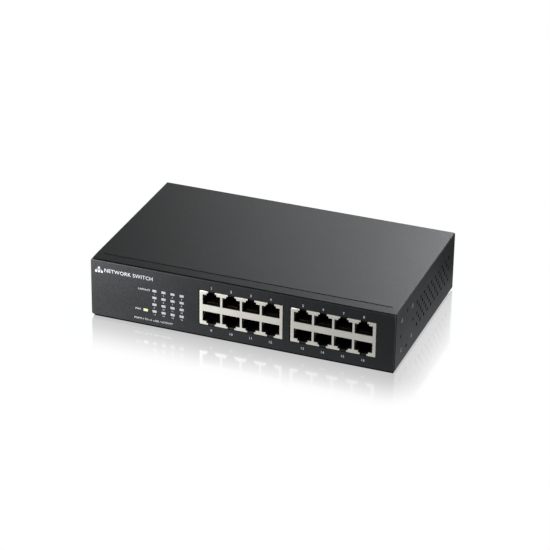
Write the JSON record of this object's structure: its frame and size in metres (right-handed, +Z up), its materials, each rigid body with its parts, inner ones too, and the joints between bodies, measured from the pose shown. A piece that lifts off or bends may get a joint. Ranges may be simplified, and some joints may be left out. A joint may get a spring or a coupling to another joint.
{
  "type": "desktop network switch",
  "caption": "Low black sheet-metal box with two stacked blocks of modular jacks and a field of lamps in front, a vented cover and rubber feet.",
  "frame": {"origin": "centre of the footprint, on the plane the rubber feet stand on", "axes": "+X along the front to the right seen from the front, +Y from the front to the rear, +Z up"},
  "size_m": [0.215, 0.1318, 0.0433],
  "materials": {
    "print_white": "white screen print",
    "case_steel": "fine satin black powder coat",
    "screen_tin": "tinned sheet, warm silver, lightly brushed",
    "jack_plastic": "black moulded nylon",
    "contact_gold": "gold-plated spring contacts",
    "lamp_white": "milky clear light guide",
    "lamp_lit": "lit yellow-green light guide",
    "rubber": "matt black rubber",
    "screw_steel": "bright zinc-plated steel",
    "main_board": "green glass-epoxy board with solder mask",
    "power_board": "tan paper-phenolic board",
    "chip": "black moulded epoxy",
    "aluminium": "extruded aluminium",
    "capacitor": "dark blue sleeve on an aluminium can",
    "ferrite": "dark grey ferrite",
    "film_yellow": "yellow polyester tape and film box",
    "header": "cream nylon",
    "fuse_glass": "glass tube with nickel caps",
    "insulator": "translucent insulating film",
    "inlet_plastic": "black flame-retardant nylon",
    "tinned": "tinned brass",
    "wire_red": "red wire insulation",
    "wire_black": "black wire insulation",
    "wire_brown": "brown wire insulation",
    "wire_blue": "blue wire insulation",
    "wire_earth": "green wire insulation with a yellow stripe"
  },
  "bodies": {
    "base": {"chassis_base": "case_steel", "foot_front_left": "rubber", "foot_front_right": "rubber", "foot_rear_left": "rubber", "foot_rear_right": "rubber", "main_board_screw_1": "screw_steel", "main_board_screw_2": "screw_steel", "main_board_screw_3": "screw_steel", "main_board_screw_4": "screw_steel", "power_board_screw_1": "screw_steel", "power_board_screw_2": "screw_steel", "earth_screw": "screw_steel", "jack_shield_left": "screen_tin", "jack_shield_right": "screen_tin", "jack_housing_left": "jack_plastic", "jack_housing_right": "jack_plastic", "contact_insert_left": "contact_gold", "contact_insert_right": "contact_gold", "lamp_guide": "lamp_white", "power_lamp_guide": "lamp_lit", "main_board": "main_board", "power_board": "power_board", "switch_chip": "chip", "port_chip": "chip", "memory_chip": "chip", "power_transistor": "chip", "port_transformer_1": "chip", "port_transformer_2": "chip", "port_transformer_3": "chip", "port_transformer_4": "chip", "chip_heatsink": "aluminium", "power_heatsink": "aluminium", "clock_crystal": "aluminium", "board_capacitor_1": "capacitor", "board_capacitor_2": "capacitor", "bulk_capacitor": "capacitor", "output_capacitor": "capacitor", "board_inductor": "ferrite", "mains_choke": "ferrite", "mains_filter_capacitor": "film_yellow", "power_transformer": "film_yellow", "power_socket": "header", "mains_fuse": "fuse_glass", "insulating_sheet": "insulator", "mains_inlet": "inlet_plastic", "inlet_pin_line": "tinned", "inlet_pin_neutral": "tinned", "inlet_pin_earth": "tinned", "earth_lug": "tinned", "mains_wire_line": "wire_brown", "mains_wire_neutral": "wire_blue", "earth_wire": "wire_earth", "supply_wire_positive": "wire_red", "supply_wire_negative": "wire_black"},
    "cover": {"top_cover": "case_steel"},
    "screw_left": {"cover_screw_left": "screw_steel"},
    "screw_right": {"cover_screw_right": "screw_steel"}
  },
  "joints": [
    {"name": "cover_slide", "type": "slide", "parent": "base", "child": "cover", "axis": [0, 1, 0], "range_m": [0, 0.14]},
    {"name": "screw_left_out", "type": "slide", "parent": "cover", "child": "screw_left", "axis": [0, 1, 0], "range_m": [0, 0.008]},
    {"name": "screw_right_out", "type": "slide", "parent": "cover", "child": "screw_right", "axis": [0, 1, 0], "range_m": [0, 0.008]}
  ]
}
